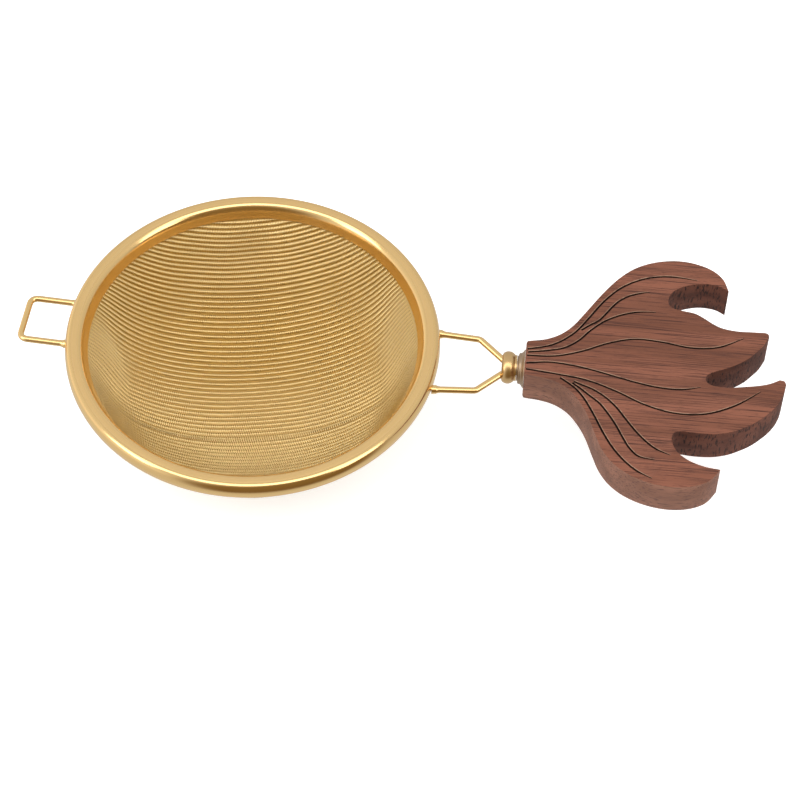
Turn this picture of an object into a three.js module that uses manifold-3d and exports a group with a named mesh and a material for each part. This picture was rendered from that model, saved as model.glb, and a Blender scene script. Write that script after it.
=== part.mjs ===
// Tea strainer: a woven wire bowl in a rolled metal rim, with a small wire ear on one side and a
// flat carved wooden handle on the other, joined by two bent wires and a turned ferrule.
// Millimetres. +Z is up and is the axis of the bowl, +X points along the handle. The origin is on
// the floor that the bowl touches, under the middle of the whole object.
import * as THREE from "three";
import { mergeVertices } from "three/addons/utils/BufferGeometryUtils.js";
import Module from "manifold-3d";

// ---- driving dimensions ----
const BOWL_LOWEST = 28.2; // height of the rim's middle plane over the lowest point of the bowl
const MESH_THICKNESS = 1.0;
const SHEET = 0.6; // thickness of the rolled rim
const CORE_RADIUS = 0.75; // hoop of wire inside the rolled rim
const CORE_RING_RADIUS = 38.3;
const CORE_HEIGHT = 0.6;
const WIRE_RADIUS = 0.7;
const AXIS_HEIGHT = -1.7; // wires, ferrule and handle share this height, from the rim's middle plane
const GAP = 0.3; // clearance left at every soldered or glued contact

const EAR_TURN_DEG = 177; // the ear is not quite opposite the handle
const EAR_START = 40.3;
const EAR_REACH = 50.3;
const EAR_HALF_WIDTH = 5.65;
const EAR_CORNER = 1.8;

const NECK_AT_RIM = [39.85, 7.6];
const NECK_AT_BEND = [48.6, 6.95];
const NECK_AT_FERRULE = [53.2, 2.55];
const NECK_BEND_RADIUS = 1.6;

const BEAD_START = 53.7;
const BEAD_LENGTH = 2.8;
const BEAD_RADIUS = 3.5;
const WAIST_RADIUS = 2.8;
const COLLAR_RADIUS = 3.2;
const CONE_RADIUS = 4.1;
const STUD_RADIUS = 1.5;
const STUD_START = 54.6;
const STUD_END = 72;
const HANDLE_START = 58.6;
const HANDLE_THICKNESS = 8.4;
const HANDLE_EDGE = 0.4; // eased edge around both faces
const GROOVE_WIDTH = 0.7;
const GROOVE_DEPTH = 0.55;

const ROUND_STEPS = 60;
const WIRE_SIDES = 10;

// Middle surface of the woven bowl, [radius, height] from the rim's middle plane.
const BOWL_PROFILE = [
  [0, -27.7],
  [5.0, -27.5],
  [10.0, -26.9],
  [15.0, -25.6],
  [19.0, -24.0],
  [22.0, -22.4],
  [25.0, -20.3],
  [27.6, -18.0],
  [29.6, -15.4],
  [31.3, -12.4],
  [32.8, -9.0],
  [34.2, -5.8],
  [35.6, -3.0],
  [36.75, -1.0],
  [37.25, -0.1],
];

// Outer surface of the rolled rim, from the inner lower edge, over the flat top, to the curled lip.
const RIM_PROFILE = [
  [35.1, -1.05],
  [35.6, -0.25],
  [36.0, 0.5],
  [36.25, 1.2],
  [36.55, 1.85],
  [36.95, 2.35],
  [37.3, 2.5],
  [38.85, 2.5],
  [39.3, 2.35],
  [39.8, 1.85],
  [40.15, 1.1],
  [40.3, 0.3],
  [40.25, -0.5],
  [39.95, -1.3],
  [39.45, -1.85],
  [38.8, -2.1],
];

// Top face of the handle as curved runs that meet at its corners.
const HANDLE_RUNS = [
  [
    [58.6, 4.4], [62.7, 5.3], [65.8, 7.0], [68.3, 9.6], [70.6, 13.2], [73.1, 17.4],
    [75.5, 21.1], [78.0, 24.3], [80.8, 26.9], [84.0, 28.7], [87.6, 29.8], [91.3, 30.1],
    [94.8, 29.5], [98.0, 28.1], [100.3, 25.8], [101.5, 22.6],
  ],
  [
    [101.5, 22.6], [99.6, 23.7], [97.7, 24.1], [95.6, 24.1], [93.5, 23.6], [91.5, 22.8],
    [89.9, 21.7], [88.9, 20.3], [88.5, 18.7], [88.9, 17.2], [90.0, 16.5], [92.1, 16.1],
    [94.3, 15.7], [96.0, 14.8], [98.0, 13.4], [99.8, 12.4], [101.8, 11.9], [104.1, 11.7],
    [106.6, 11.8], [109.5, 11.9],
  ],
  [[109.5, 11.9], [110.2, 11.6], [110.4, 10.8]],
  [
    [110.4, 10.8], [109.2, 8.3], [107.6, 6.2], [105.9, 4.3], [103.8, 2.7], [101.4, 1.3],
    [98.8, 0.1], [97.4, -0.9], [97.1, -2.2], [98.0, -3.3], [99.9, -3.7], [102.3, -3.7],
    [105.1, -3.2], [108.1, -2.6], [110.6, -1.8], [112.7, -0.6],
  ],
  [[112.7, -0.6], [113.7, -0.8], [114.1, -1.7]],
  [
    [114.1, -1.7], [113.6, -4.2], [112.7, -6.5], [111.3, -8.7], [109.4, -10.8], [107.4, -12.6],
    [105.1, -14.1], [102.8, -15.3], [100.2, -16.1], [97.7, -16.4], [95.0, -16.4], [92.6, -16.2],
    [91.0, -16.6], [90.4, -17.8], [90.6, -19.6], [91.5, -21.4], [93.1, -22.9], [95.1, -24.0],
    [97.6, -24.8], [100.6, -25.2],
  ],
  [
    [100.6, -25.2], [98.5, -28.2], [95.4, -29.9], [91.7, -30.6], [87.9, -30.4], [84.1, -29.4],
    [80.7, -27.7], [77.9, -25.3], [75.8, -22.2], [74.2, -18.3], [72.5, -13.9], [70.6, -10.5],
    [68.4, -7.8], [65.5, -5.9], [62.2, -5.0], [58.6, -4.6],
  ],
];

// Centre lines of the grooves cut into the top face.
const GROOVES = [
  [
    [58.9, 2.2], [64.2, 3.9], [68.6, 7.5], [71.7, 12.2], [74.7, 17.1], [78.5, 21.4], [83.4, 24.3],
    [88.9, 25.4], [94.6, 24.9],
  ],
  [
    [70.1, 8.5], [71.8, 10], [73.7, 11.5], [75.1, 13.4], [76.4, 15.5], [77.9, 17.4], [79.8, 18.9],
    [82, 19.9], [84.4, 20.6],
  ],
  [
    [59.1, 1.4], [62.7, 2.1], [66.5, 3.2], [69.6, 5.5], [72, 8.5], [74.8, 11.3], [78.2, 13.4],
    [81.9, 14.7], [85.9, 15.1],
  ],
  [
    [58.9, 0.5], [64.9, 0.9], [70.6, 2.8], [76, 5.5], [81.6, 7.2], [87.6, 7], [93.6, 6.1],
    [99.5, 6.8], [104.9, 9.8],
  ],
  [
    [58.9, -1.6], [63.6, -0.9], [68.4, -1.2], [73.2, -2.1], [77.9, -3.3], [82.7, -4.5],
    [87.4, -5.3], [92.1, -5.3], [96, -4.3],
  ],
  [
    [58.9, -3.2], [65.4, -3.9], [72, -4.9], [78.3, -7.2], [84.4, -10.1], [90.8, -11.7],
    [97.3, -11.2], [103.4, -8.4], [108.7, -4.2],
  ],
  [
    [70.6, -6.4], [73.4, -7.2], [76.1, -9], [78.4, -11.3], [80.4, -14], [82.4, -16.7],
    [84.6, -19.2], [87.1, -21.3], [90.2, -22.6],
  ],
  [
    [70.6, -7.4], [72.5, -8.7], [74.9, -10.7], [76.8, -13.2], [78.5, -15.9], [80, -18.8],
    [81.6, -21.6], [83.7, -23.6], [87, -24.1],
  ],
  [
    [72.2, -10.7], [74.1, -14.3], [76, -18.2], [78.1, -21.8], [80.6, -24.9], [83.4, -27.3],
    [86.6, -28.9],
  ],
];

// ---- materials: one for each piece ----
const goldSteel = (roughness) =>
  new THREE.MeshStandardMaterial({ color: 0xd0a860, roughness, metalness: 1 });
const brass = (roughness) =>
  new THREE.MeshStandardMaterial({ color: 0xc9a456, roughness, metalness: 1 });
const walnut = new THREE.MeshStandardMaterial({ color: 0x84523c, roughness: 0.6, metalness: 0 });

const group = new THREE.Group();
group.name = "tea_strainer";
const strainer = new THREE.Group();
strainer.name = "strainer";
strainer.position.z = BOWL_LOWEST;
group.add(strainer);

// ---- helpers ----
const wasm = await Module();
wasm.setup();

function addPiece(name, geometry, material) {
  const mesh = new THREE.Mesh(geometry, material);
  mesh.name = name;
  strainer.add(mesh);
  return mesh;
}

function welded(geometry) {
  const bare = geometry.clone();
  for (const key of Object.keys(bare.attributes)) {
    if (key !== "position") bare.deleteAttribute(key);
  }
  return mergeVertices(bare, 1e-4);
}

function toSolid(geometry) {
  const merged = welded(geometry);
  return new wasm.Manifold(
    new wasm.Mesh({
      numProp: 3,
      vertProperties: new Float32Array(merged.attributes.position.array),
      triVerts: new Uint32Array(merged.index.array),
    }),
  );
}

function toGeometry(solid) {
  const mesh = solid.getMesh();
  const geometry = new THREE.BufferGeometry();
  geometry.setAttribute("position", new THREE.BufferAttribute(mesh.vertProperties, 3));
  geometry.setIndex(new THREE.BufferAttribute(mesh.triVerts, 1));
  return geometry;
}

// Points moved sideways from an open path by a distance, to its left when the distance is positive.
function offsetPath(path, distance) {
  return path.map((point, i) => {
    const before = path[Math.max(i - 1, 0)];
    const after = path[Math.min(i + 1, path.length - 1)];
    const along = new THREE.Vector2(after[0] - before[0], after[1] - before[1]).normalize();
    return [point[0] - along.y * distance, point[1] + along.x * distance];
  });
}

function turnedAboutZ(profile, steps = ROUND_STEPS) {
  const points = profile.map(([radius, height]) => new THREE.Vector2(radius, height));
  return new THREE.LatheGeometry(points, steps);
}

// A turned piece whose profile is [position along +X, radius].
function turnedAlongX(profile, steps = 40) {
  const points = profile.map(([along, radius]) => new THREE.Vector2(radius, along));
  const geometry = new THREE.LatheGeometry(points, steps);
  geometry.rotateZ(-Math.PI / 2);
  geometry.translate(0, 0, AXIS_HEIGHT);
  return geometry;
}

function lathedUpright(profile, steps) {
  const geometry = turnedAboutZ(profile, steps);
  geometry.rotateX(Math.PI / 2);
  return geometry;
}

// A path of straight runs with each inner corner rounded to a radius.
function roundedPath(corners, radius) {
  const path = new THREE.CurvePath();
  let start = corners[0];
  for (let i = 1; i < corners.length - 1; i += 1) {
    const toStart = start.clone().sub(corners[i]);
    const toNext = corners[i + 1].clone().sub(corners[i]);
    const half = toStart.angleTo(toNext) / 2;
    const cut = radius / Math.tan(half);
    const enter = corners[i].clone().add(toStart.setLength(cut));
    const leave = corners[i].clone().add(toNext.setLength(cut));
    path.add(new THREE.LineCurve3(start, enter));
    path.add(new THREE.QuadraticBezierCurve3(enter, corners[i], leave));
    start = leave;
  }
  path.add(new THREE.LineCurve3(start, corners.at(-1)));
  return path;
}

function circleShape(radius, sides) {
  const shape = new THREE.Shape();
  for (let i = 0; i < sides; i += 1) {
    const angle = (2 * Math.PI * i) / sides;
    const x = radius * Math.cos(angle);
    const y = radius * Math.sin(angle);
    if (i === 0) shape.moveTo(x, y);
    else shape.lineTo(x, y);
  }
  shape.closePath();
  return shape;
}

function wireAlong(path, steps) {
  return new THREE.ExtrudeGeometry(circleShape(WIRE_RADIUS, WIRE_SIDES), {
    steps,
    bevelEnabled: false,
    extrudePath: path,
  });
}

// ---- bowl of woven wire, as one thin shell ----
const bowlInside = offsetPath(BOWL_PROFILE, MESH_THICKNESS / 2);
const bowlOutside = offsetPath(BOWL_PROFILE, -MESH_THICKNESS / 2);
bowlInside[0][0] = 0;
bowlOutside[0][0] = 0;
const bowlShell = [...bowlOutside, ...bowlInside.reverse()];
addPiece("mesh_bowl", lathedUpright(bowlShell), goldSteel(0.35));

// ---- rolled rim, with the hoop of wire that it is rolled over ----
const rimInside = offsetPath(RIM_PROFILE, -SHEET);
const rimSection = [...rimInside, ...[...RIM_PROFILE].reverse(), rimInside[0]];
addPiece("rim_cap", lathedUpright(rimSection), goldSteel(0.2));

const hoop = new THREE.TorusGeometry(CORE_RING_RADIUS, CORE_RADIUS, 8, ROUND_STEPS);
hoop.translate(0, 0, CORE_HEIGHT);
addPiece("rim_core_hoop", hoop, goldSteel(0.4));

// ---- ear: a square loop of wire soldered to the outside of the rim ----
const earCorners = [
  new THREE.Vector3(EAR_START, EAR_HALF_WIDTH, 0),
  new THREE.Vector3(EAR_REACH, EAR_HALF_WIDTH, 0),
  new THREE.Vector3(EAR_REACH, -EAR_HALF_WIDTH, 0),
  new THREE.Vector3(EAR_START, -EAR_HALF_WIDTH, 0),
];
const earPath = roundedPath(earCorners, EAR_CORNER);
const ear = addPiece("ear_wire", wireAlong(earPath, 40), goldSteel(0.25));
ear.position.z = AXIS_HEIGHT;
ear.rotation.z = THREE.MathUtils.degToRad(EAR_TURN_DEG);

// ---- two neck wires from the rim to the ferrule ----
for (const [name, side] of [["neck_wire_left", 1], ["neck_wire_right", -1]]) {
  const corners = [NECK_AT_RIM, NECK_AT_BEND, NECK_AT_FERRULE].map(
    ([along, out]) => new THREE.Vector3(along, side * out, AXIS_HEIGHT),
  );
  addPiece(name, wireAlong(roundedPath(corners, NECK_BEND_RADIUS), 24), goldSteel(0.25));
}

// ---- ferrule: a rounded bead, then a collar that flares to the wood ----
const beadEnd = BEAD_START + BEAD_LENGTH;
const boreRadius = STUD_RADIUS + GAP;
const boreStart = STUD_START - GAP;
addPiece(
  "ferrule_bead",
  turnedAlongX([
    [BEAD_START, 0],
    [BEAD_START, 2.5],
    [BEAD_START + 0.25, 3.05],
    [BEAD_START + 0.75, 3.38],
    [BEAD_START + 1.4, BEAD_RADIUS],
    [BEAD_START + 2.05, 3.38],
    [beadEnd - 0.25, 3.05],
    [beadEnd, WAIST_RADIUS],
    [beadEnd + 0.4, WAIST_RADIUS],
    [beadEnd + 0.4, boreRadius],
    [boreStart, boreRadius],
    [boreStart, 0],
  ]),
  brass(0.3),
);

const collarStart = beadEnd + 0.4 + GAP;
const collarEnd = HANDLE_START - GAP;
addPiece(
  "ferrule_collar",
  turnedAlongX([
    [collarStart, boreRadius],
    [collarStart, WAIST_RADIUS],
    [collarStart + 0.2, COLLAR_RADIUS - 0.1],
    [collarStart + 0.45, COLLAR_RADIUS],
    [collarStart + 0.7, COLLAR_RADIUS],
    [collarEnd - 0.15, CONE_RADIUS],
    [collarEnd, CONE_RADIUS],
    [collarEnd, boreRadius],
    [collarStart, boreRadius],
  ]),
  brass(0.35),
);

// ---- threaded stud that holds the ferrule to the handle ----
addPiece(
  "handle_stud",
  turnedAlongX(
    [
      [STUD_START, 0],
      [STUD_START, STUD_RADIUS - 0.2],
      [STUD_START + 0.2, STUD_RADIUS],
      [STUD_END - 0.6, STUD_RADIUS],
      [STUD_END, STUD_RADIUS - 0.6],
      [STUD_END, 0],
    ],
    20,
  ),
  new THREE.MeshStandardMaterial({ color: 0xb0b2b4, roughness: 0.4, metalness: 1 }),
);

// ---- handle: a flat board cut into four curved lobes, with grooves and a blind hole ----
const outline = [];
for (const run of HANDLE_RUNS) {
  const curve = new THREE.SplineCurve(run.map(([x, y]) => new THREE.Vector2(x, y)));
  outline.push(...curve.getSpacedPoints(run.length - 1).slice(0, -1));
}
const boardShape = new THREE.Shape(outline);
const board = new THREE.ExtrudeGeometry(boardShape, {
  depth: HANDLE_THICKNESS - 2 * HANDLE_EDGE,
  bevelEnabled: true,
  bevelSize: HANDLE_EDGE,
  bevelOffset: -HANDLE_EDGE,
  bevelThickness: HANDLE_EDGE,
  bevelSegments: 1,
});
board.translate(0, 0, AXIS_HEIGHT - HANDLE_THICKNESS / 2 + HANDLE_EDGE);
let handle = toSolid(board);

const holeEnd = STUD_END + GAP;
const hole = turnedAlongX(
  [
    [HANDLE_START - 1, 0],
    [HANDLE_START - 1, boreRadius],
    [holeEnd, boreRadius],
    [holeEnd, 0],
  ],
  20,
);
handle = handle.subtract(toSolid(hole));

const topFace = AXIS_HEIGHT + HANDLE_THICKNESS / 2;
const cutterShape = new THREE.Shape();
cutterShape.moveTo(0, -GROOVE_WIDTH / 2);
cutterShape.lineTo(GROOVE_DEPTH, 0);
cutterShape.lineTo(0, GROOVE_WIDTH / 2);
cutterShape.lineTo(-GROOVE_DEPTH, 0);
cutterShape.closePath();
for (const points of GROOVES) {
  const path = new THREE.CatmullRomCurve3(
    points.map(([x, y]) => new THREE.Vector3(x, y, topFace)),
  );
  const cutter = new THREE.ExtrudeGeometry(cutterShape, {
    steps: 16,
    bevelEnabled: false,
    extrudePath: path,
  });
  handle = handle.subtract(toSolid(cutter));
}
addPiece("handle_board", toGeometry(handle), walnut);

// ---- the middle of the whole object goes over the origin ----
const box = new THREE.Box3().setFromObject(group, true);
strainer.position.x = -(box.min.x + box.max.x) / 2;

export default group;
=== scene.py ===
# %% [markdown]
# # Tea strainer
#
# A tea strainer is a shallow bowl of woven wire that hangs in a rolled metal rim. A wire ear on
# one side rests on the cup, and on the other side two bent wires and a turned ferrule carry a
# flat wooden handle. The CAD model gives the place and size of every part. Here each part is made
# again with the detail that the eye looks for: real wires in the weave, a spun rim, and wood with
# grain. Nothing on the object moves, so every piece rides on its one body.

# %% Load the fixed frame
import bisect
import math
import random

import bmesh
import bpy
from mathutils import Matrix, Vector


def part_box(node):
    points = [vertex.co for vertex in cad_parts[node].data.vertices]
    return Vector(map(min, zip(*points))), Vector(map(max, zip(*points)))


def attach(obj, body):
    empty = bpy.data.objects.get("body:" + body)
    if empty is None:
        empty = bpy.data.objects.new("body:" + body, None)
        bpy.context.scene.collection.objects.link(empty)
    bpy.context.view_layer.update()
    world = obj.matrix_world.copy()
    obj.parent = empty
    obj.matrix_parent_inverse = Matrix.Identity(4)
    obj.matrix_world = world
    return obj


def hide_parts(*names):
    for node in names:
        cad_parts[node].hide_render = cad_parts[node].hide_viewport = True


MM = 0.001

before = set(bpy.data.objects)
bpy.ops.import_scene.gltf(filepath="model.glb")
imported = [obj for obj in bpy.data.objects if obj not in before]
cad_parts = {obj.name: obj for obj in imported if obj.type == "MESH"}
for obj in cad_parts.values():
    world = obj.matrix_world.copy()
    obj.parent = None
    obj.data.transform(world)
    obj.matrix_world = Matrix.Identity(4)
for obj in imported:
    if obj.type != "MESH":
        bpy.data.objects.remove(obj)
bpy.context.view_layer.update()

# %% [markdown]
# ## Where things are
#
# Drawings of small parts are in millimetres, measured from the bowl's axis and from the middle
# plane of the rim. The rim's CAD box says where that point is in the frame, so every shape below
# can be written in plain millimetres and moved there at the end. The handle points along X, and
# its wires, its ferrule and the middle of its board all lie at one height, a little below that
# plane.

# %% The bowl's own origin
RIM_TOP = 2.5
HANDLE_HEIGHT = -1.7

rim_low, rim_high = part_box("rim_cap")
origin = (rim_low + rim_high) / 2
origin.z = rim_high.z - RIM_TOP * MM
to_frame = Matrix.Translation(origin) @ Matrix.Scale(MM, 4)
print("bowl axis in mm:", [round(n / MM, 2) for n in origin])

# %% [markdown]
# ## Camera
#
# The camera looks down at the strainer at about fifty degrees, from far away with a long lens, so
# that the round rim reads as a clean ellipse. It is aimed at a point near the bowl, and the whole
# picture is turned by one degree. The lamps are aimed in the same way later, so the direction
# from an azimuth and an elevation is a function: azimuth 0 is the front, where Y is lowest.

# %% Objects, and directions to look from
scene = bpy.context.scene


def new_object(name, data):
    """An object that holds the data, at the origin of the scene."""
    made = bpy.data.objects.new(name, data)
    scene.collection.objects.link(made)
    return made


def direction_to(azimuth, elevation):
    """The unit vector from the object to something at these angles, in degrees."""
    a, e = math.radians(azimuth), math.radians(elevation)
    return Vector((math.sin(a) * math.cos(e), -math.cos(a) * math.cos(e), math.sin(e)))


def looking_along(view):
    """The turn that makes a camera or a lamp look along a direction."""
    return view.to_track_quat("-Z", "Y")


# %% Camera
CAMERA_AZIMUTH, CAMERA_ELEVATION, CAMERA_ROLL = 4.6, 53.19, 1.095
CAMERA_DISTANCE_MM = 568
CAMERA_AIM_MM = (-0.2413, 8.6629, 0.0)
CAMERA_LENS, CAMERA_SENSOR = 113.337, 36
CAMERA_CLIP = (0.01, 20)

camera = new_object("camera", bpy.data.cameras.new("camera"))
scene.camera = camera
camera.data.lens = CAMERA_LENS
camera.data.sensor_width = CAMERA_SENSOR
camera.data.clip_start, camera.data.clip_end = CAMERA_CLIP

towards = direction_to(CAMERA_AZIMUTH, CAMERA_ELEVATION)
camera.location = Vector(CAMERA_AIM_MM) * MM + towards * CAMERA_DISTANCE_MM * MM
roll = Matrix.Rotation(math.radians(CAMERA_ROLL), 3, "Z").to_quaternion()
camera.rotation_mode = "QUATERNION"
camera.rotation_quaternion = looking_along(-towards) @ roll
bpy.context.view_layer.update()
print("camera at, mm:", [round(n / MM, 2) for n in camera.location])

# %% [markdown]
# ## Small tools
#
# Four things are needed again and again: a smooth line through a few measured points, a node
# added to a material with its settings and links, the mesh that a curve or a modifier makes, and
# the last steps that turn a mesh into a finished piece. A finished piece sits at the frame's
# origin, with its place in its vertices, and rides on the object's one body.

# %% A smooth line through points
def smooth_line(points, steps):
    """A Catmull-Rom line through the points, with so many steps from each to the next."""
    known = [Vector(p) for p in (points[0], *points, points[-1])]
    line = []
    for before, start, end, after in zip(known, known[1:], known[2:], known[3:]):
        for step in range(steps):
            t = step / steps
            line.append(
                start
                + (end - before) * (t / 2)
                + (before - start * 2.5 + end * 2 - after / 2) * t**2
                + (start * 1.5 - before / 2 - end * 1.5 + after / 2) * t**3
            )
    return [*line, known[-1]]


# %% A node with its settings and links
def add_node(tree, kind, settings=None, inputs=None):
    """Adds a node. Settings are its own options, and inputs are plain values or other sockets."""
    node = tree.nodes.new(kind)
    for option, value in (settings or {}).items():
        setattr(node, option, value)
    for socket, value in (inputs or {}).items():
        if isinstance(value, bpy.types.NodeSocket):
            tree.links.new(value, node.inputs[socket])
        else:
            node.inputs[socket].default_value = value
    return node


# A Mix node that mixes colours has its colours on these sockets.
MIX_COLOURS = {"data_type": "RGBA"}
SHARE, FIRST, SECOND, MIXED = 0, 6, 7, 2
SMOOTH = {"interpolation_type": "SMOOTHSTEP"}


# %% From a screen colour to light
def colour(code):
    """The linear colour of an sRGB hex code."""
    parts = [int(code[i : i + 2], 16) / 255 for i in (1, 3, 5)]
    return [p / 12.92 if p <= 0.04045 else ((p + 0.055) / 1.055) ** 2.4 for p in parts] + [1]


# %% A new material, with its nodes and its shader
def new_material(name):
    """A material with the standard shader, and the two things that are needed to build on it."""
    material = bpy.data.materials.new(name)
    material.use_nodes = True
    tree = material.node_tree
    return material, tree, tree.nodes["Principled BSDF"]


# %% Lines of a curve, and the mesh of an object
def add_line(curve, points, swell=None):
    """Adds an open run of straight steps to a curve, with a swell for each point."""
    spline = curve.splines.new("POLY")
    spline.points.add(len(points) - 1)
    spline.points.foreach_set("co", [n for point in points for n in (*point, 1)])
    if swell:
        spline.points.foreach_set("radius", swell)
    return spline


def mesh_made_by(holder):
    """The mesh that an object's curve or modifiers make."""
    bpy.context.view_layer.update()
    depsgraph = bpy.context.evaluated_depsgraph_get()
    return bpy.data.meshes.new_from_object(holder.evaluated_get(depsgraph))


# %% A drawing as a mesh, and the last steps of a piece
SHARP_ANGLE = math.radians(40)


def mesh_from(name, drawn):
    """Turns a bmesh into a mesh, and frees the bmesh."""
    mesh = bpy.data.meshes.new(name)
    drawn.to_mesh(mesh)
    drawn.free()
    return mesh


def finish_piece(name, mesh, materials, stands_for=(), sharp=True):
    """Moves a drawing in millimetres to its place in the frame and makes it a piece."""
    if isinstance(mesh, bmesh.types.BMesh):
        mesh = mesh_from(name, mesh)
    mesh.transform(to_frame)
    mesh.name = name
    mesh.shade_smooth()
    if sharp:
        mesh.set_sharp_from_angle(angle=SHARP_ANGLE)
    for material in materials:
        mesh.materials.append(material)
    piece = new_object(name, mesh)
    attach(piece, "root")
    if stands_for:
        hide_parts(*stands_for)
    mesh.calc_loop_triangles()
    print(f"{name}: {len(mesh.loop_triangles)} triangles")
    return piece


# %% [markdown]
# ## Metals
#
# All the wire and the rim are stainless steel with a thin gold-coloured plating. The rim was spun
# and polished, so it has sharp reflections at its rounded sides, while its flat top was lightly
# brushed on a belt and only glows. Plating has no pattern of its own, so a noise as colour would
# look false. What the eye gets is a little unevenness in how sharply it reflects, over patches of
# a few millimetres where it was handled, and fine marks from the brush. The ferrule is turned
# brass: its bead was left satin, and the collar against the wood has gone dull. The marks of a
# real brush are about 0.05 mm apart, too fine to show, so they are drawn 0.25 mm apart.

# %% A metal from its colour, its roughness and its marks
PATCH_LOW, PATCH_HIGH = 0.3, 0.7
SMOOTHEST = 0.02
MARKS_APART_MM, MARKS_DEEP_MM = 0.25, 0.02


def metal(name, base, roughness, uneven, patch_mm, marks=0.0):
    """A metal whose roughness changes by `uneven` over patches, with a fine bump for marks."""
    material, tree, shader = new_material(name)
    shader.inputs["Base Color"].default_value = colour(base)
    shader.inputs["Metallic"].default_value = 1
    where = add_node(tree, "ShaderNodeTexCoord").outputs["Object"]
    patches = add_node(
        tree,
        "ShaderNodeTexNoise",
        inputs={"Vector": where, "Scale": 1 / (patch_mm * MM), "Detail": 3},
    )
    spread = add_node(
        tree,
        "ShaderNodeMapRange",
        inputs={
            "Value": patches.outputs["Fac"],
            "From Min": PATCH_LOW,
            "From Max": PATCH_HIGH,
            "To Min": max(roughness - uneven, SMOOTHEST),
            "To Max": roughness + uneven,
        },
    )
    tree.links.new(spread.outputs["Result"], shader.inputs["Roughness"])
    if marks:
        grit = add_node(
            tree,
            "ShaderNodeTexNoise",
            inputs={"Vector": where, "Scale": 1 / (MARKS_APART_MM * MM), "Detail": 2},
        )
        bump = add_node(
            tree,
            "ShaderNodeBump",
            inputs={
                "Height": grit.outputs["Fac"],
                "Strength": marks,
                "Distance": MARKS_DEEP_MM * MM,
            },
        )
        tree.links.new(bump.outputs["Normal"], shader.inputs["Normal"])
    return material


# %% Polished plating, brushed plating and plated wire
PLATING = "#EFC98A"

# Sharp, warm streaks along the rounded sides of the rim.
polished_plating = metal("polished_gold_plated_steel", PLATING, 0.16, 0.04, 6)
# An even glow on the flat top of the rim.
brushed_plating = metal("brushed_gold_plated_steel", PLATING, 0.36, 0.04, 4, marks=0.4)
# A thin bright line down each wire, since drawn wire is nearly as smooth as polished sheet.
wire_plating = metal("gold_plated_wire", PLATING, 0.18, 0.03, 3)

# %% Brass of the ferrule, and steel of the stud
# Soft highlights round the bead, with faint turning marks.
satin_brass = metal("satin_turned_brass", "#D3B07C", 0.3, 0.05, 3, marks=0.3)
# A grey-brown ring with hardly a highlight, where glue and hands have dulled the collar.
dull_brass = metal("dull_turned_brass", "#AB937A", 0.45, 0.06, 3, marks=0.5)
# Cool grey, and only inside: the stud is never seen from outside.
zinc_steel = metal("zinc_plated_steel", "#B9BBBD", 0.35, 0.05, 4)

# %% Weaving wire
# Paler and less sharp than the rim, so the bowl sparkles softly. The wires are too thin to show
# any pattern of their own, so their finish is even, and all of the detail is in their shape.
woven_plating, _, woven_shader = new_material("gold_plated_weaving_wire")
woven_shader.inputs["Base Color"].default_value = colour("#E1C78F")
woven_shader.inputs["Metallic"].default_value = 1
woven_shader.inputs["Roughness"].default_value = 0.28

# %% [markdown]
# ## Rolled rim
#
# The rim is a strip of thin sheet, spun over a hoop of wire until it grips the edge of the weave.
# A lathe shape is the honest way to make it: its section is drawn once and spun round the bowl's
# axis, and the sheet then gets its thickness. The section slopes up from the weave, turns softly
# into a flat top, and rolls round and under on the outside. The same spinning makes the ferrule
# later.

# %% Rim section, from the inner lower edge over the flat top to the curled lip
RIM_INNER_SIDE = [
    (35.45, -0.5), (35.7, 0.05), (36.0, 0.75), (36.25, 1.3), (36.55, 1.83), (36.9, 2.2),
    (37.25, 2.42),
]
RIM_TOP_FACE = [(37.6, 2.5), (38.5, 2.5)]
RIM_OUTER_SIDE = [
    (38.8, 2.46), (39.2, 2.36), (39.6, 2.12), (39.95, 1.65), (40.18, 0.98), (40.28, 0.25),
    (40.2, -0.6), (39.95, -1.3), (39.45, -1.85), (38.8, -2.1),
]
rim_section = [
    *smooth_line(RIM_INNER_SIDE, 4),
    *[Vector(p) for p in RIM_TOP_FACE],
    *smooth_line(RIM_OUTER_SIDE, 5),
]


# %% Spinning
MERGE_MM = 1e-4


def spun(line, centre, axis, steps):
    """Spins a line of points a full turn about an axis, with its faces outwards."""
    bm = bmesh.new()
    points = [bm.verts.new(point) for point in line]
    for start, end in zip(points, points[1:]):
        bm.edges.new((start, end))
    bmesh.ops.spin(
        bm, geom=bm.verts[:] + bm.edges[:], cent=centre, axis=axis, angle=math.tau, steps=steps,
        use_merge=True,
    )
    bmesh.ops.remove_doubles(bm, verts=bm.verts[:], dist=MERGE_MM)
    bmesh.ops.recalc_face_normals(bm, faces=bm.faces[:])
    return bm


# %% Spin the rim and give the sheet its thickness
SHEET = 0.3
RIM_STEPS = 288
TOP_BAND, NEARLY_LEVEL = 0.05, 0.98
POLISHED, BRUSHED = 0, 1

rim_line = [(radius, 0, height) for radius, height in rim_section]
rim = spun(rim_line, (0, 0, 0), (0, 0, 1), RIM_STEPS)
highest = max(rim.faces, key=lambda face: face.calc_center_median().z)
if highest.normal.z < 0:
    bmesh.ops.reverse_faces(rim, faces=rim.faces[:])
bmesh.ops.solidify(rim, geom=rim.faces[:], thickness=SHEET)
for face in rim.faces:
    at_top = face.calc_center_median().z > RIM_TOP - TOP_BAND
    face.material_index = BRUSHED if at_top and face.normal.z > NEARLY_LEVEL else POLISHED
finish_piece(
    "rolled_rim", rim, [polished_plating, brushed_plating], ["rim_cap"],
)

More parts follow.
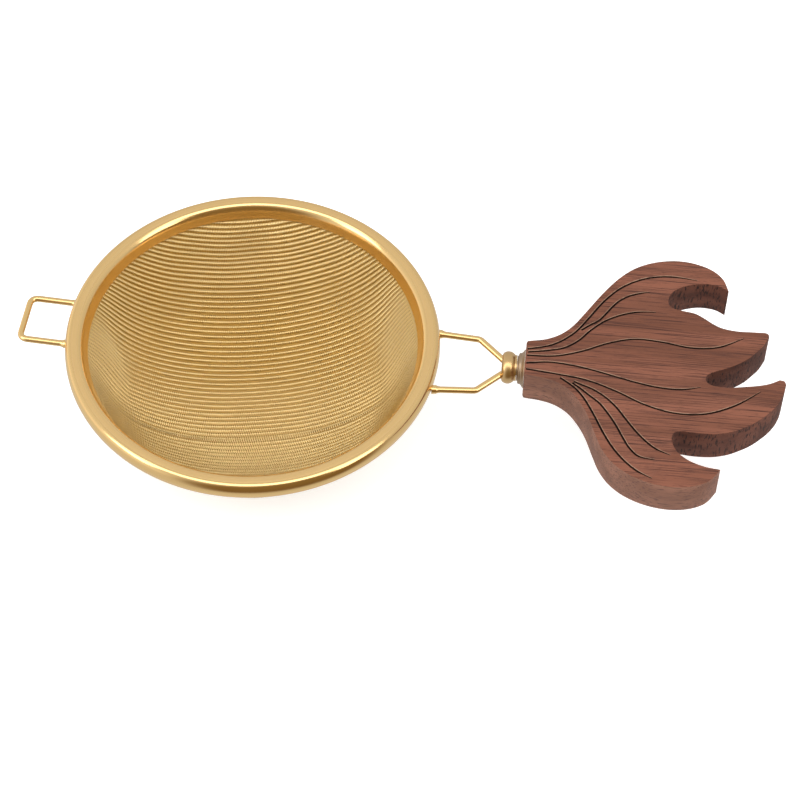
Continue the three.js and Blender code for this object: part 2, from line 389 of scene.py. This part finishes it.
# %% [markdown]
# ## Woven bowl
#
# The bowl is a plain Dutch weave: stout wires lie side by side a little over a millimetre apart,
# and much finer wires are packed across them, over one and under the next. A flat disc of that
# cloth was pressed into the bowl. The wires are drawn on the flat disc first, and each point is
# then carried to the bowl at the same distance from the middle, which keeps the stout wires as
# the ribs that show.
#
# Pressing leaves its marks. The cloth is too wide for the rim, so it is thrown into faint pleats
# near it, and at two places, near the ear and near the handle, it is dented. The pleats and dents
# stand off the slope of the bowl, and fade out at the rim and towards the middle.

# %% Bowl section, as the middle of the cloth
BOWL_SECTION = [
    (0, -27.6), (5.0, -27.42), (10.0, -26.9), (15.0, -25.6), (19.0, -24.0), (22.0, -22.4),
    (25.0, -20.3), (27.6, -18.0), (29.6, -15.4), (31.3, -12.4), (32.7, -9.0), (33.8, -6.0),
    (34.8, -3.4), (35.7, -1.5), (36.5, -0.1),
]
SPARE_EDGE = 0.4

bowl_line = smooth_line(BOWL_SECTION, 8)
bowl_reach = [0.0]
for start, end in zip(bowl_line, bowl_line[1:]):
    bowl_reach.append(bowl_reach[-1] + (end - start).length)
CLOTH_RADIUS = bowl_reach[-1] - SPARE_EDGE
print("radius of the flat cloth in mm:", round(CLOTH_RADIUS, 2))

# %% From the flat cloth to the bowl
RIB_ANGLE = math.radians(10.6)
PLEATS = 14
PLEAT_HEIGHT = 0.2
PLEATS_START = 31
DENTS = [(math.radians(181), 1.3), (math.radians(20), 1.1)]
DENT_WIDTH = 0.16


def on_bowl(along, across, lift):
    """Where a point of the flat cloth comes to lie, lifted off the cloth's middle."""
    reach = math.hypot(along, across)
    span = min(max(bisect.bisect(bowl_reach, reach), 1), len(bowl_line) - 1)
    start, end = bowl_line[span - 1], bowl_line[span]
    share = (reach - bowl_reach[span - 1]) / (bowl_reach[span] - bowl_reach[span - 1])
    slope = (end - start).normalized()
    turn = math.atan2(across, along) + RIB_ANGLE
    near_rim = min(max((reach - PLEATS_START) / (CLOTH_RADIUS - PLEATS_START), 0), 1)
    pressed = PLEAT_HEIGHT * math.sin(PLEATS * turn)
    for place, depth in DENTS:
        pressed += depth * math.exp(-((math.remainder(turn - place, math.tau) / DENT_WIDTH) ** 2))
    lift += pressed * math.sin(math.pi * near_rim)
    radius, height = start + (end - start) * share + Vector((-slope.y, slope.x)) * lift
    return (radius * math.cos(turn), radius * math.sin(turn), height)


# %% [markdown]
# ### Wires
#
# Thousands of crossings have to stay light. A curve object with a round section turns any number
# of lines into wires, and its resolution says how round they are. The ribs have six sides, and
# the fine wires have four, since each is only 0.4 mm thick.

# %% Lines into wires
# A round section has four sides, and two more for each step of its resolution.
FOUR_SIDES, SIX_SIDES, TWELVE_SIDES = 0, 1, 4


def wires(name, lines, radius, sides, swell=None):
    """Makes a mesh of round wires that follow lines of points, with a swell for each point."""
    curve = bpy.data.curves.new(name, "CURVE")
    curve.dimensions = "3D"
    curve.bevel_depth = radius
    curve.bevel_resolution = sides
    curve.use_fill_caps = True
    for line in lines:
        add_line(curve, line, swell)
    holder = new_object(name, curve)
    mesh = mesh_made_by(holder)
    bpy.data.objects.remove(holder)
    bpy.data.curves.remove(curve)
    return mesh


# %% [markdown]
# ### Ribs
#
# No two ribs are exactly the same distance apart, so each wanders by up to a twentieth of a
# millimetre. One gap is wider than the rest, where the wires have parted in front of the middle.

# %% Places of the stout wires
RIB_PITCH = 1.144
RIB_WANDER = 0.05
PARTED_RIB = -6
PARTED_BY = 0.5
BEYOND_EDGE = 2

chance = random.Random(4)
rib_count = int(CLOTH_RADIUS / RIB_PITCH)
rib_places = {}
for number in range(-rib_count - BEYOND_EDGE, rib_count + BEYOND_EDGE + 1):
    parted = PARTED_BY if number <= PARTED_RIB else 0
    rib_places[number] = number * RIB_PITCH - parted + chance.uniform(-RIB_WANDER, RIB_WANDER)
print("ribs across the cloth:", 2 * rib_count + 1)


def rib_place(number):
    """Where a rib lies across the cloth, or a place between two ribs."""
    below = math.floor(number)
    share = number - below
    return rib_places[below] * (1 - share) + rib_places[below + 1] * share


# %% Stout wires, with a point about every millimetre
RIB_RADIUS = 0.4
FEWEST_STEPS = 2

ribs = []
for number in range(-rib_count, rib_count + 1):
    across = rib_place(number)
    if abs(across) >= CLOTH_RADIUS:
        continue
    half = math.sqrt(CLOTH_RADIUS**2 - across**2)
    steps = max(int(half), FEWEST_STEPS)
    ribs.append([on_bowl(half * step / steps, across, 0) for step in range(-steps, steps + 1)])
finish_piece(
    "weave_stout_wires", wires("stout", ribs, RIB_RADIUS, SIX_SIDES), [woven_plating],
    ["mesh_bowl"], sharp=False,
)

# %% [markdown]
# ### Fine wires
#
# A fine wire goes over one rib and under the next, and its neighbour does the opposite, so it is
# a cosine along the ribs: four points from one rib to the next are enough to show it. The fine
# wires are drawn a little into each other, which closes the cloth as their packing does in the
# real one. They are split into bands of about equal size, because one piece of all of them would
# be too heavy.

# %% Fine wires, each over one rib and under the next
FINE_PITCH = 0.25
FINE_LIFT = 0.36
POINTS_PER_RIB = 4

fine_count = int(CLOTH_RADIUS / FINE_PITCH)
fine = []
for number in range(-fine_count, fine_count + 1):
    along = (number + 0.5) * FINE_PITCH
    half = math.sqrt(max(CLOTH_RADIUS**2 - along**2, 0))
    last = int(half / RIB_PITCH * POINTS_PER_RIB)
    over = FINE_LIFT if number % 2 else -FINE_LIFT
    line = []
    for step in range(-last, last + 1):
        share = step / POINTS_PER_RIB
        line.append(on_bowl(along, rib_place(share), over * math.cos(math.pi * share)))
    if last > 1:
        fine.append(line)
print("fine wires:", len(fine))

# %% Fine wires, sorted into bands
BANDS = 5

point_count = sum(len(line) for line in fine)
bands, band, used = [], [], 0
for line in fine:
    band.append(line)
    used += len(line)
    if used >= point_count / BANDS:
        bands.append(band)
        band, used = [], 0
if band:
    bands.append(band)
print("fine wires in each band:", [len(band) for band in bands])

# %% Fine wires as pieces
FINE_RADIUS = 0.195

for number, band in enumerate(bands, 1):
    finish_piece(
        f"weave_fine_wires_{number}", wires("fine", band, FINE_RADIUS, FOUR_SIDES),
        [woven_plating], ["mesh_bowl"], sharp=False,
    )

# %% [markdown]
# ## Ear and neck wires
#
# The ear and the two neck wires are bent from stout wire. Each is a path with its corners
# rounded, swept with a round section. Where a wire meets the rim it is brazed, and the solder
# climbs a little way up the wire, so the wire swells towards its end instead of stopping dead.

# %% A path with rounded corners
def rounded_path(corners, radius, steps=6):
    """The corners joined by straight runs, each inner corner rounded to a radius."""
    corners = [Vector(c) for c in corners]
    path = [corners[0]]
    for before, corner, after in zip(corners, corners[1:], corners[2:]):
        half = (before - corner).angle(after - corner) / 2
        cut = radius / math.tan(half)
        enter = corner + (before - corner).normalized() * cut
        leave = corner + (after - corner).normalized() * cut
        for step in range(steps + 1):
            t = step / steps
            path.append(enter.lerp(corner, t).lerp(corner.lerp(leave, t), t))
    return [*path, corners[-1]]


# %% Solder where a wire meets the rim, as (distance from the end, swell)
FILLET = [(0.0, 1.4), (1.0, 1.35), (1.2, 1.2), (1.5, 1.06), (1.9, 1.0)]


def soldered(path, both_ends):
    """The path with points added for a fillet of solder at its ends, and the swell of each."""
    start = (path[1] - path[0]).normalized()
    end = (path[-2] - path[-1]).normalized()
    first = [path[0] + start * reach for reach, _ in FILLET]
    last = [path[-1] + end * reach for reach, _ in reversed(FILLET)] if both_ends else [path[-1]]
    swell = [size for _, size in FILLET] + [1.0] * (len(path) - 2)
    swell += [size for _, size in reversed(FILLET)] if both_ends else [1.0]
    return [*first, *path[1:-1], *last], swell


# %% Ear
WIRE_RADIUS = 0.7
EAR_CORNERS = [(39.4, 5.65), (50.25, 5.65), (50.25, -5.65), (39.4, -5.65)]
EAR_BEND = 1.8
EAR_TURN = Matrix.Rotation(math.radians(177), 3, "Z")

ear_corners = [EAR_TURN @ Vector((x, y, HANDLE_HEIGHT)) for x, y in EAR_CORNERS]
path, swell = soldered(rounded_path(ear_corners, EAR_BEND), both_ends=True)
ear = wires("ear", [path], WIRE_RADIUS, TWELVE_SIDES, swell)
finish_piece("ear", ear, [wire_plating], ["ear_wire"])

# %% Neck wires
NECK_CORNERS = [(39.2, 7.6), (48.6, 6.95), (54.0, 1.8)]
NECK_BEND = 1.6

for name, side in (("left", 1), ("right", -1)):
    neck_corners = [(x, side * y, HANDLE_HEIGHT) for x, y in NECK_CORNERS]
    path, swell = soldered(rounded_path(neck_corners, NECK_BEND), both_ends=False)
    wire = wires(name, [path], WIRE_RADIUS, TWELVE_SIDES, swell)
    finish_piece(f"neck_{name}", wire, [wire_plating], [f"neck_wire_{name}"])

# %% [markdown]
# ## Ferrule
#
# The ferrule is two brass pieces turned on a lathe, a bead and a flared collar, with a threaded
# stud through them into the wood. They are spun about the line that runs along the handle, and
# each section is drawn as (place along X, distance from that line). The hoop inside the rim and
# the stud have the right shape in the CAD already, so they stay and only get their metal.

# %% Turning on the handle's line
FERRULE_STEPS = 96


def turned(section):
    """Spins a section about the handle's line."""
    line = [(along, 0, HANDLE_HEIGHT + radius) for along, radius in section]
    return spun(line, (0, 0, HANDLE_HEIGHT), (1, 0, 0), FERRULE_STEPS)


# %% Bead and collar
BORE = 1.8
BEAD_ROUND = [
    (53.72, 2.5), (53.95, 3.05), (54.45, 3.38), (55.1, 3.5), (55.75, 3.38), (56.25, 3.05),
    (56.5, 2.8),
]
COLLAR_FLARE = [
    (57.22, 3.0), (57.38, 3.3), (57.62, 3.36), (57.85, 3.4), (58.1, 3.65), (58.4, 4.1),
]

bead_section = [
    (53.7, 0), (53.7, 2.2), *smooth_line(BEAD_ROUND, 4), (56.9, 2.8), (56.9, BORE), (54.3, BORE),
    (54.3, 0),
]
finish_piece("bead", turned(bead_section), [satin_brass], ["ferrule_bead"])
collar_section = [
    (56.95, BORE), (56.95, 2.7), (57.2, 2.7), *smooth_line(COLLAR_FLARE, 3), (58.58, 4.18),
    (58.58, BORE), (56.95, BORE),
]
finish_piece("collar", turned(collar_section), [dull_brass], ["ferrule_collar"])

# %% Metals of the stud and the hoop
for node, metal_finish in (("handle_stud", zinc_steel), ("rim_core_hoop", wire_plating)):
    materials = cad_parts[node].data.materials
    materials.clear()
    materials.append(metal_finish)
    print(f"{node}: {metal_finish.name}")

# %% [markdown]
# ## Handle
#
# The handle is a walnut board, sawn to four curved lobes, with its edges eased and nine lines
# carved into its top. The outline is drawn as the curved runs between its corners, filled, and
# given its thickness. A bevel eases the edges, and a boolean with shaped bars carves the lines.

# %% Handle outline, from the neck round the four lobes and back to the neck
HANDLE_RUNS = [
    [
        (58.6, 3.7), (58.75, 4.2), (59.3, 4.5), (62.7, 5.3), (65.8, 7), (68.3, 9.6), (70.6, 13.2),
        (73.1, 17.4), (75.5, 21.1), (78, 24.3), (80.8, 26.9), (84, 28.7), (87.6, 29.8),
        (91.3, 30.1), (94.8, 29.5), (98, 28.1), (100.3, 25.8), (101.5, 22.6),
    ],
    [
        (101.5, 22.6), (99.6, 23.7), (97.7, 24.1), (95.6, 24.1), (93.5, 23.6), (91.5, 22.8),
        (89.9, 21.7), (88.9, 20.3), (88.5, 18.7), (88.9, 17.2), (90, 16.5), (92.1, 16.1),
        (94.3, 15.7), (96, 14.8), (98, 13.4), (99.8, 12.4), (101.8, 11.9), (104.1, 11.7),
        (106.6, 11.8), (109.5, 11.9),
    ],
    [(109.5, 11.9), (110.2, 11.6), (110.4, 10.8)],
    [
        (110.4, 10.8), (109.2, 8.3), (107.6, 6.2), (105.9, 4.3), (103.8, 2.7), (101.4, 1.3),
        (98.8, 0.1), (97.4, -0.9), (97.1, -2.2), (98, -3.3), (99.9, -3.7), (102.3, -3.7),
        (105.1, -3.2), (108.1, -2.6), (110.6, -1.8), (112.7, -0.6),
    ],
    [(112.7, -0.6), (113.7, -0.8), (114.1, -1.7)],
    [
        (114.1, -1.7), (113.6, -4.2), (112.7, -6.5), (111.3, -8.7), (109.4, -10.8),
        (107.4, -12.6), (105.1, -14.1), (102.8, -15.3), (100.2, -16.1), (97.7, -16.4),
        (95, -16.4), (92.6, -16.2), (91, -16.6), (90.4, -17.8), (90.6, -19.6), (91.5, -21.4),
        (93.1, -22.9), (95.1, -24), (97.6, -24.8), (100.6, -25.2),
    ],
    [
        (100.6, -25.2), (98.5, -28.2), (95.4, -29.9), (91.7, -30.6), (87.9, -30.4),
        (84.1, -29.4), (80.7, -27.7), (77.9, -25.3), (75.8, -22.2), (74.2, -18.3), (72.5, -13.9),
        (70.6, -10.5), (68.4, -7.8), (65.5, -5.9), (62.2, -5), (59.3, -4.7), (58.75, -4.4),
        (58.6, -3.9),
    ],
]

outline = []
for run in HANDLE_RUNS:
    outline += smooth_line(run, 5)[:-1]
outline.append(Vector(HANDLE_RUNS[-1][-1]))
print("points round the handle:", len(outline))

# %% Board with eased edges
HANDLE_THICKNESS = 8.4
EASED_EDGE = 0.35

board = bmesh.new()
loop = [board.verts.new((p.x, p.y, HANDLE_HEIGHT - HANDLE_THICKNESS / 2)) for p in outline]
bottom = board.faces.new(loop)
risen = bmesh.ops.extrude_face_region(board, geom=[bottom])["geom"]
bmesh.ops.translate(
    board, verts=[v for v in risen if isinstance(v, bmesh.types.BMVert)],
    vec=(0, 0, HANDLE_THICKNESS),
)
bmesh.ops.recalc_face_normals(board, faces=board.faces[:])
flat_faces = [face for face in board.faces if len(face.verts) > 4]
rims = [edge for face in flat_faces for edge in face.edges]
bmesh.ops.bevel(
    board, geom=rims, affect="EDGES", offset=EASED_EDGE, segments=3, profile=0.5, material=-1,
    clamp_overlap=True,
)
print("board faces:", len(board.faces))

# %% [markdown]
# ### Finish of each face
#
# The top and the sides were sanded, but the notches between the lobes are as the saw left them:
# rough and darker. Each face is marked while the board is still plain, and the marks pass through
# the carving. The notches are the upright faces past the neck that don't face back towards it,
# and aren't on the two outer sides.

# %% Mark the finish of each face of the board
# The lip and the slot of a carved line are painted light: a pale painted highlight and dark
# painted shade.
FACE, SIDE, SAWN, PAINTED_HIGHLIGHT_LIP, PAINTED_SHADE_SLOT = range(5)
UPRIGHT_BELOW = 0.5
NOTCHES_FROM, NOTCHES_WITHIN, FACING_NECK = 88, 25, -0.65

for face in board.faces:
    normal, centre = face.normal, face.calc_center_median()
    in_notches = centre.x > NOTCHES_FROM and abs(centre.y) < NOTCHES_WITHIN
    if abs(normal.z) > UPRIGHT_BELOW:
        face.material_index = FACE
    elif in_notches and normal.x > FACING_NECK:
        face.material_index = SAWN
    else:
        face.material_index = SIDE
print("faces in the notches:", sum(face.material_index == SAWN for face in board.faces))

# %% [markdown]
# ### Carving
#
# Each line was cut with a narrow blade: a slot with a broken lip along one side, running out
# thinner at its end. The cutter for it is a bar with that section, swept along the line on the
# board's top face. Its own faces are marked as lip and slot, and the boolean hands those marks to
# the walls that it leaves. The lip is coloured pale as a painted highlight, where light catches
# the edge, and the slot nearly black as painted shade.

# %% Carved lines
GROOVES = [
    [
        (58.9, 2.2), (64.2, 3.9), (68.6, 7.5), (71.7, 12.2), (74.7, 17.1), (78.5, 21.4),
        (83.4, 24.3), (88.9, 25.4), (94.6, 24.9),
    ],
    [
        (70.1, 8.5), (71.8, 10), (73.7, 11.5), (75.1, 13.4), (76.4, 15.5), (77.9, 17.4),
        (79.8, 18.9), (82, 19.9), (84.4, 20.6),
    ],
    [
        (59.1, 1.4), (62.7, 2.1), (66.5, 3.2), (69.6, 5.5), (72, 8.5), (74.8, 11.3),
        (78.2, 13.4), (81.9, 14.7), (85.9, 15.1),
    ],
    [
        (58.9, 0.5), (64.9, 0.9), (70.6, 2.8), (76, 5.5), (81.6, 7.2), (87.6, 7), (93.6, 6.1),
        (99.5, 6.8), (104.9, 9.8),
    ],
    [
        (58.9, -1.6), (63.6, -0.9), (68.4, -1.2), (73.2, -2.1), (77.9, -3.3), (82.7, -4.5),
        (87.4, -5.3), (92.1, -5.3), (96, -4.3),
    ],
    [
        (58.9, -3.2), (65.4, -3.9), (72, -4.9), (78.3, -7.2), (84.4, -10.1), (90.8, -11.7),
        (97.3, -11.2), (103.4, -8.4), (108.7, -4.2),
    ],
    [
        (69.2, -5.5), (71.2, -6.3), (73.4, -7.2), (76.1, -9), (78.4, -11.3), (80.4, -14),
        (82.4, -16.7), (84.6, -19.2), (87.1, -21.3), (90.2, -22.6),
    ],
    [
        (68.9, -5.9), (70.6, -7.1), (72.5, -8.7), (74.9, -10.7), (76.8, -13.2), (78.5, -15.9),
        (80, -18.8), (81.6, -21.6), (83.7, -23.6), (87, -24.1),
    ],
    [
        (66.3, -4.8), (69.2, -6.9), (71.0, -8.9), (72.4, -11.1), (74.1, -14.3), (76, -18.2),
        (78.1, -21.8), (80.6, -24.9), (83.4, -27.3), (86.6, -28.9),
    ],
]

# %% Bar that carves a line, as a curve
# The section is given across the line and up from the board's face, and the lip is on its left.
BAR_SECTION = [
    (-0.35, 0.1), (-0.35, 0.0), (-0.25, -0.08), (-0.2, -0.8), (0.24, -0.8), (0.24, 0.0),
    (0.24, 0.1),
]
TAPER_POINTS, TAPER_TIP = 6, 0.35
top_height = HANDLE_HEIGHT + HANDLE_THICKNESS / 2


def bar_curve(points, shape):
    """A curve with the bar's section that follows a line on the top face, thinner at its end."""
    curve = bpy.data.curves.new("bar", "CURVE")
    curve.dimensions = "3D"
    curve.twist_mode = "Z_UP"
    curve.bevel_mode = "OBJECT"
    curve.bevel_object = shape
    curve.use_fill_caps = True
    spline = add_line(curve, smooth_line([(*p, top_height) for p in points], 6))
    for number in range(TAPER_POINTS):
        spline.points[-1 - number].radius = TAPER_TIP + (1 - TAPER_TIP) * number / TAPER_POINTS
    return curve


# %% Bar as an object, with its lip and its slot marked
# Slopes of the bar's faces that leave the lip behind, the faces that get the painted highlight.
PAINTED_HIGHLIGHT_SLOPE = (0.5, 0.95)


def with_finishes(name, drawn):
    """An object for the boolean, with an empty place for each finish of the wood."""
    mesh = mesh_from(name, drawn)
    for _ in (FACE, SIDE, SAWN, PAINTED_HIGHLIGHT_LIP, PAINTED_SHADE_SLOT):
        mesh.materials.append(None)
    return new_object(name, mesh)


def carving_bar(points):
    """The cutter for one line."""
    section = bpy.data.curves.new("section", "CURVE")
    add_line(section, [(x, y, 0) for x, y in BAR_SECTION]).use_cyclic_u = True
    shape = new_object("section", section)
    holder = new_object("bar", bar_curve(points, shape))
    bar = bmesh.new()
    bar.from_mesh(mesh_made_by(holder))
    bpy.data.objects.remove(holder)
    bpy.data.objects.remove(shape)
    bmesh.ops.remove_doubles(bar, verts=bar.verts[:], dist=MERGE_MM)
    bmesh.ops.recalc_face_normals(bar, faces=bar.faces[:])
    # Bar faces in that slope leave the lip, which gets the pale painted highlight; the rest leave
    # the slot, which gets the dark painted shade.
    for face in bar.faces:
        gets_painted_highlight = PAINTED_HIGHLIGHT_SLOPE[0] < -face.normal.z < PAINTED_HIGHLIGHT_SLOPE[1]
        face.material_index = PAINTED_HIGHLIGHT_LIP if gets_painted_highlight else PAINTED_SHADE_SLOT
    return with_finishes("bar", bar)


# %% Carve the board
carving = with_finishes("board", board)
bars = [carving_bar(points) for points in GROOVES]
print("bar heights in mm:", [round(bars[0].bound_box[n][2], 2) for n in (0, 1)])
for bar in bars:
    cut = carving.modifiers.new("cut", "BOOLEAN")
    cut.operation = "DIFFERENCE"
    cut.solver = "EXACT"
    cut.object = bar
carved = mesh_made_by(carving)
for spare in (carving, *bars):
    bpy.data.objects.remove(spare)

# Clearing a mesh's materials also clears the finish of each face, so the finishes are kept aside.
finishes = [face.material_index for face in carved.polygons]
carved.materials.clear()
carved.polygons.foreach_set("material_index", finishes)
print("carved board faces:", len(carved.polygons))

# %% [markdown]
# ## Walnut
#
# Black walnut is a warm brown wood with straight grain, short dark streaks and open pores that
# run along the board. It was planed, sanded and oiled, so it has hardly any shine. Bands, streaks
# and pores can all be made from one noise: stretched along the board and cut to a range, it gives
# growth bands when it is large, streaks when it is thin, and pores when it is finer still. Real
# pores are about 0.1 mm wide, too fine to show, so they are drawn twice as wide. Streaks and
# pores are also pressed in by a bump.

# %% A pattern of walnut
BAND_MM, BAND_DETAIL, BAND_RANGE = (60, 4, 4), 3, (0.35, 0.65)
STREAK_DETAIL, STREAK_RANGE = 2, (0.53, 0.64)
PORE_MM, PORE_DETAIL, PORE_RANGE = (1.6, 0.22, 0.22), 1, (0.58, 0.72)


def grain(tree, where, size_mm, detail, cut):
    """A noise of a size along each side of the board, from 0 to 1 over a range of its values."""
    scale = [1 / (n * MM) for n in size_mm]
    mapped = add_node(tree, "ShaderNodeMapping", inputs={"Vector": where, "Scale": scale})
    noise = add_node(
        tree, "ShaderNodeTexNoise",
        inputs={"Vector": mapped.outputs["Vector"], "Scale": 1.0, "Detail": detail},
    )
    return add_node(
        tree, "ShaderNodeMapRange", SMOOTH,
        {"Value": noise.outputs["Fac"], "From Min": cut[0], "From Max": cut[1]},
    ).outputs["Result"]


# %% Walnut, from its browns, its streaks and how it was cut
FAINT_PORES = 0.35
GRAIN_DEEP_MM = 0.05
OILED_SHINE = 0.35


def walnut(name, light, dark, streak, streak_mm, roughness, relief):
    """Oiled walnut: bands between two browns, darker streaks of a size, and pores."""
    material, tree, shader = new_material(name)
    where = add_node(tree, "ShaderNodeTexCoord").outputs["Object"]
    bands = grain(tree, where, BAND_MM, BAND_DETAIL, BAND_RANGE)
    streaks = grain(tree, where, streak_mm, STREAK_DETAIL, STREAK_RANGE)
    pores = grain(tree, where, PORE_MM, PORE_DETAIL, PORE_RANGE)
    faint = add_node(tree, "ShaderNodeMath", {"operation": "MULTIPLY"}, {0: pores, 1: FAINT_PORES})
    brown = colour(light)
    layers = ((bands, colour(dark)), (streaks, colour(streak)), (faint.outputs[0], colour(streak)))
    for share, darker in layers:
        mix = {SHARE: share, FIRST: brown, SECOND: darker}
        brown = add_node(tree, "ShaderNodeMix", MIX_COLOURS, mix).outputs[MIXED]
    depth = add_node(tree, "ShaderNodeMath", {"operation": "ADD"}, {0: streaks, 1: pores})
    bump = add_node(
        tree, "ShaderNodeBump", {"invert": True},
        {"Height": depth.outputs[0], "Strength": relief, "Distance": GRAIN_DEEP_MM * MM},
    )
    tree.links.new(brown, shader.inputs["Base Color"])
    tree.links.new(bump.outputs["Normal"], shader.inputs["Normal"])
    shader.inputs["Roughness"].default_value = roughness
    shader.inputs["Specular IOR Level"].default_value = OILED_SHINE
    return material


# %% Walnut of each kind of face
# The planed face is a warm brown, and thin dark streaks run the length of the handle.
walnut_face = walnut(
    "walnut_planed_face", "#8C5641", "#734430", "#4C2A1F", (13, 0.17, 0.17), 0.6, 0.4,
)
# The side was sanded across its grain, so it is paler and greyer, with shorter, softer streaks.
walnut_side = walnut(
    "walnut_sanded_side", "#8A5F4C", "#764F3E", "#5E4036", (5, 0.3, 0.3), 0.65, 0.3,
)
# The notch shows saw marks: dark, rough, and streaked up and down instead of along.
walnut_sawn = walnut(
    "walnut_sawn_notch", "#6A3F30", "#502D22", "#38211A", (0.4, 0.4, 1.6), 0.8, 0.8,
)
# The lip of a carved line is a thin, broken edge, coloured pale as a painted highlight where light
# catches it.
walnut_painted_highlight = walnut(
    "walnut_lip_painted_highlight", "#B08C74", "#A07C64", "#856250", (5, 0.45, 0.45), 0.7, 0.2,
)
# The slot below it is coloured nearly black as painted shade, the shadow that falls inside it.
walnut_painted_shade = walnut(
    "walnut_slot_painted_shade", "#3A2319", "#2E1B13", "#22130D", (5, 0.45, 0.45), 0.9, 0.2,
)
finish_piece(
    "handle", carved, [walnut_face, walnut_side, walnut_sawn, walnut_painted_highlight, walnut_painted_shade],
    ["handle_board"],
)

# %% [markdown]
# ## Floor and light
#
# The strainer stands on plain white paper under a wide soft light. The paper glows a little, as
# paper does that is lit from behind, so that it stays white to its edges. Polished metal shows
# whatever is round it, and a glowing floor would bleach it, so the paper is hidden from
# reflections.

# %% White floor
FLOOR_SIZE = 3
PAPER_WHITE, PAPER_ROUGHNESS, PAPER_GLOW = 0.9, 0.9, 0.55

plane = bmesh.new()
bmesh.ops.create_grid(plane, x_segments=1, y_segments=1, size=FLOOR_SIZE)
floor = new_object("floor", mesh_from("floor", plane))
paper, _, paper_shader = new_material("white_paper")
for socket, value in {
    "Base Color": (PAPER_WHITE, PAPER_WHITE, PAPER_WHITE, 1),
    "Roughness": PAPER_ROUGHNESS,
    "Specular IOR Level": 0,
    "Emission Color": (1, 1, 1, 1),
    "Emission Strength": PAPER_GLOW,
}.items():
    paper_shader.inputs[socket].default_value = value
floor.data.materials.append(paper)
floor.visible_glossy = False
print("floor:", paper.name)

# %% [markdown]
# ### What the metal reflects
#
# The gold look is mostly reflection, so the world is built like a small studio. Behind the object
# it is evenly pale. In front, on the viewer's side, stands a warm dark wall between the floor and
# the soft light, which gives the rim its brown streaks. To the left it is brightest, by a window.
# Each of the three is a ramp from straight down (-1) over the horizon (0) to straight up (1), and
# the ramps are mixed by direction.

# %% Brightness of the studio, from straight down to straight up
STUDIO_BEHIND = [
    (-1.0, "#D7D7D7"), (-0.3, "#CCCCCC"), (0.0, "#CCCCCC"), (0.35, "#D2D2D2"), (0.7, "#DBDBDB"),
    (1.0, "#DBDBDB"),
]
STUDIO_IN_FRONT = [
    (-1.0, "#D7D7D7"), (-0.62, "#C9C9C9"), (-0.48, "#7A6648"), (0.0, "#84704E"), (0.4, "#84704E"),
    (0.65, "#96866A"), (0.88, "#CFCDC6"), (1.0, "#DBDBDB"),
]
STUDIO_BESIDE = [
    (-1.0, "#D7D7D7"), (-0.3, "#E0E0E0"), (0.0, "#FFFFFF"), (0.35, "#F0F0F0"), (0.7, "#E0E0E0"),
    (1.0, "#FFFFFF"),
]

# %% Ramps of the studio
world = bpy.data.worlds.new("studio")
world.use_nodes = True
scene.world = world
sky = world.node_tree
direction = add_node(sky, "ShaderNodeTexCoord").outputs["Generated"]
parts = add_node(sky, "ShaderNodeSeparateXYZ", inputs={"Vector": direction}).outputs
rise = add_node(
    sky, "ShaderNodeMapRange", inputs={"Value": parts["Z"], "From Min": -1, "From Max": 1},
).outputs["Result"]
brightness = []
for levels in (STUDIO_BEHIND, STUDIO_IN_FRONT, STUDIO_BESIDE):
    ramp = add_node(sky, "ShaderNodeValToRGB", inputs={"Fac": rise})
    stops = ramp.color_ramp.elements
    for number, (place, code) in enumerate(levels):
        stop = stops[number] if number < len(stops) else stops.new(1)
        stop.position = (place + 1) / 2
        stop.color = colour(code)
    brightness.append(ramp.outputs["Color"])
behind, in_front, beside = brightness
print("stops in the ramps:", len(STUDIO_BEHIND), len(STUDIO_IN_FRONT), len(STUDIO_BESIDE))

# %% Mix the ramps by direction
STUDIO_STRENGTH = 1.1
DARK_WALL = (0.4, -0.92, 0)
WALL_STARTS, WALL_FULL = 0.42, 0.8
WINDOW_STARTS, WINDOW_FULL = -0.4, -0.85

towards_wall = add_node(
    sky, "ShaderNodeVectorMath", {"operation": "DOT_PRODUCT"}, {0: direction, 1: DARK_WALL},
).outputs["Value"]
surround = behind
for side, facing, starts, full in (
    (in_front, towards_wall, WALL_STARTS, WALL_FULL),
    (beside, parts["X"], WINDOW_STARTS, WINDOW_FULL),
):
    share = add_node(
        sky, "ShaderNodeMapRange", SMOOTH, {"Value": facing, "From Min": starts, "From Max": full},
    ).outputs["Result"]
    mix = {SHARE: share, FIRST: surround, SECOND: side}
    surround = add_node(sky, "ShaderNodeMix", MIX_COLOURS, mix).outputs[MIXED]
sky.links.new(surround, sky.nodes["Background"].inputs["Color"])
sky.nodes["Background"].inputs["Strength"].default_value = STUDIO_STRENGTH
print("studio strength:", STUDIO_STRENGTH)

# %% [markdown]
# ### Lamps
#
# A wide softbox overhead lights the inside of the bowl, and two weak ones at the sides keep the
# rim's ends from going dark. All three are large and near, so their shadows have no edge.

# %% Soft lights, as (name, azimuth, elevation, width, height, power)
LAMP_DISTANCE = 1.2
LAMPS = [
    ("overhead_softbox", 0, 72, 2.4, 0.6, 8),
    ("left_softbox", -62, 30, 0.5, 0.5, 2),
    ("right_softbox", 62, 30, 0.5, 0.5, 2),
]

for name, azimuth, elevation, width, height, power in LAMPS:
    lamp = bpy.data.lights.new(name, "AREA")
    lamp.shape = "RECTANGLE"
    lamp.size, lamp.size_y, lamp.energy = width, height, power
    towards = direction_to(azimuth, elevation)
    holder = new_object(name, lamp)
    holder.location = towards * LAMP_DISTANCE
    holder.rotation_mode = "QUATERNION"
    holder.rotation_quaternion = looking_along(-towards)
    print(f"{name}: {power} W")
scene.view_settings.view_transform = "Standard"

# %% [markdown]
# ## The last line
#
# The last line brings the scene up to date.

# %% Bring the scene up to date
bpy.context.view_layer.update()
